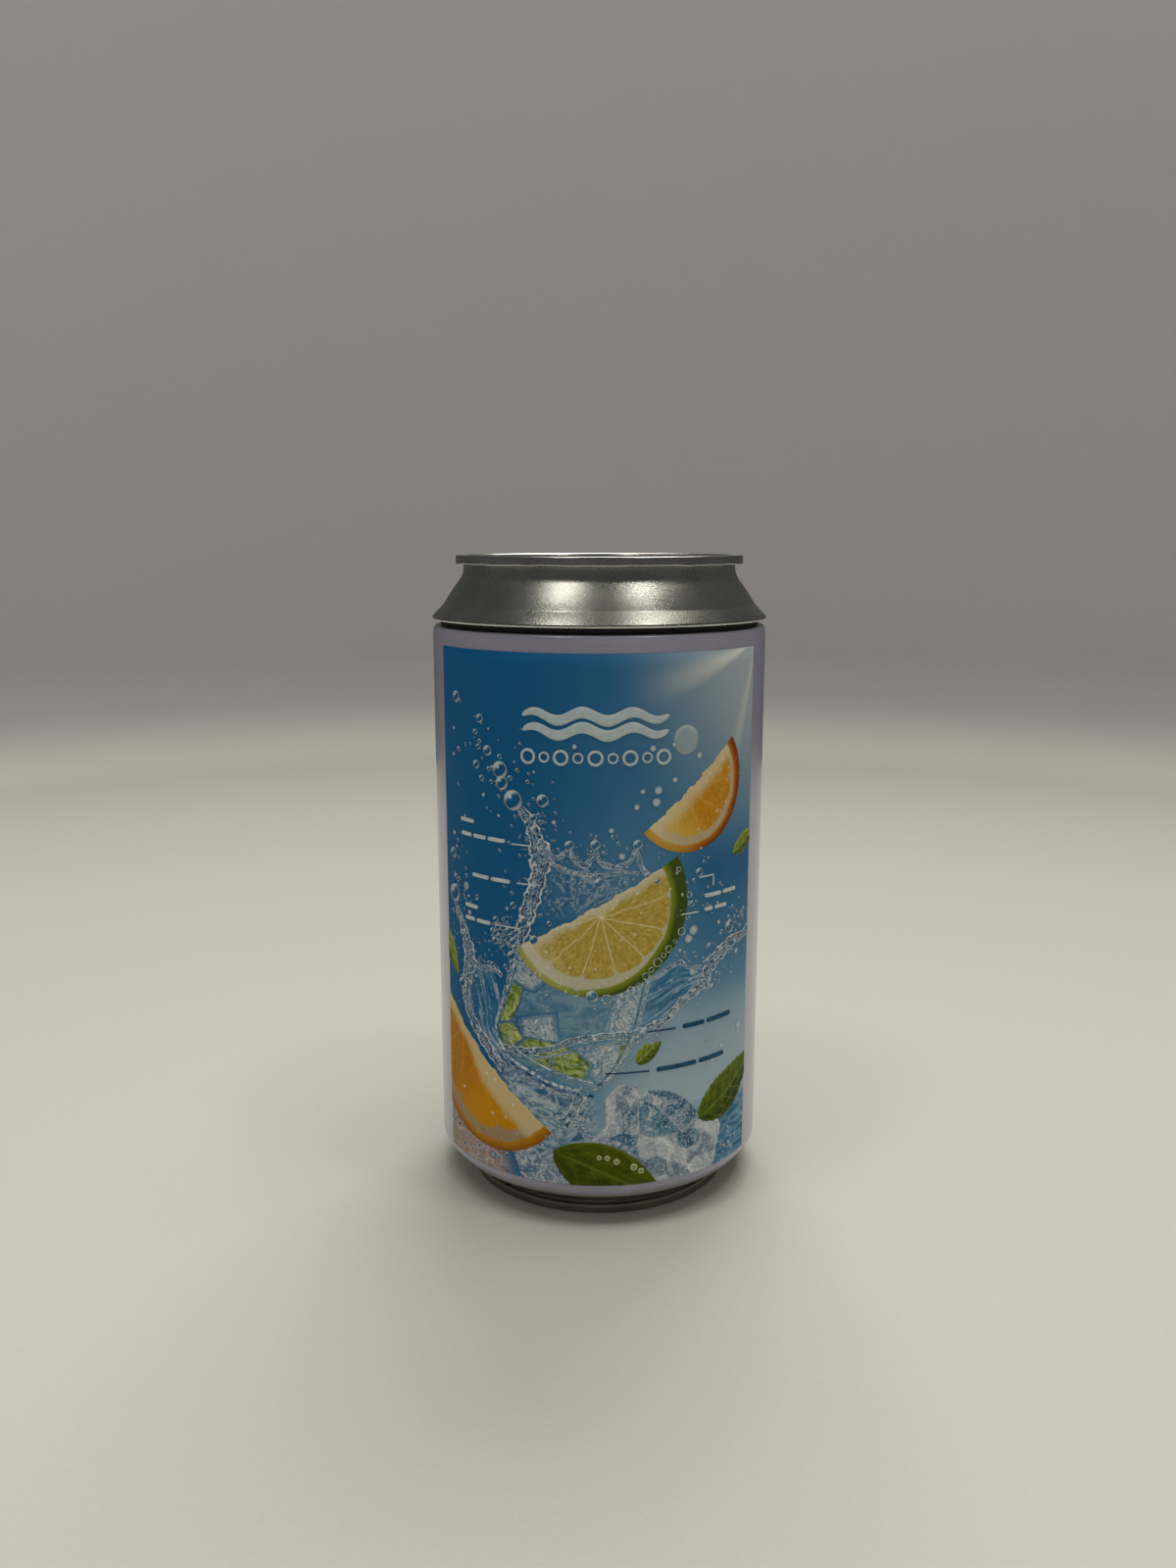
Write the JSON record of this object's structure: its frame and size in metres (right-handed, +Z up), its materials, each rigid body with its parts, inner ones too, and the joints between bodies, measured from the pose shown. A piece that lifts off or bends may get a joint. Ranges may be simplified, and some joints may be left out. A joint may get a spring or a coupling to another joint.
{
  "type": "soda can",
  "caption": "Shut drinks can with a straight lacquered body, a wrapped front label, a flared neck, a seamed lid with a stay-on tab and a tapered foot",
  "frame": {"origin": "centre of the ring that the can stands on, at floor level", "axes": "+Z up along the can's axis, -Y is the front with the label, +X to the label's right-hand side as it is read"},
  "size_m": [0.0662, 0.0662, 0.127],
  "materials": {
    "tinplate": "bright satin tinplate",
    "neck_tinplate": "grainy satin tinplate",
    "lilac_lacquer": "smooth glossy lacquer",
    "label_print": "satin printed sheet",
    "dark_collar": "dark and dull",
    "tab_aluminium": "smooth bright aluminium"
  },
  "bodies": {
    "root": {"base_end": "tinplate", "foot": "tinplate", "body": "lilac_lacquer", "label": "label_print", "collar": "dark_collar", "neck": "neck_tinplate", "top_end": "tinplate", "tab": "tab_aluminium", "rivet": "tab_aluminium"}
  },
  "joints": []
}
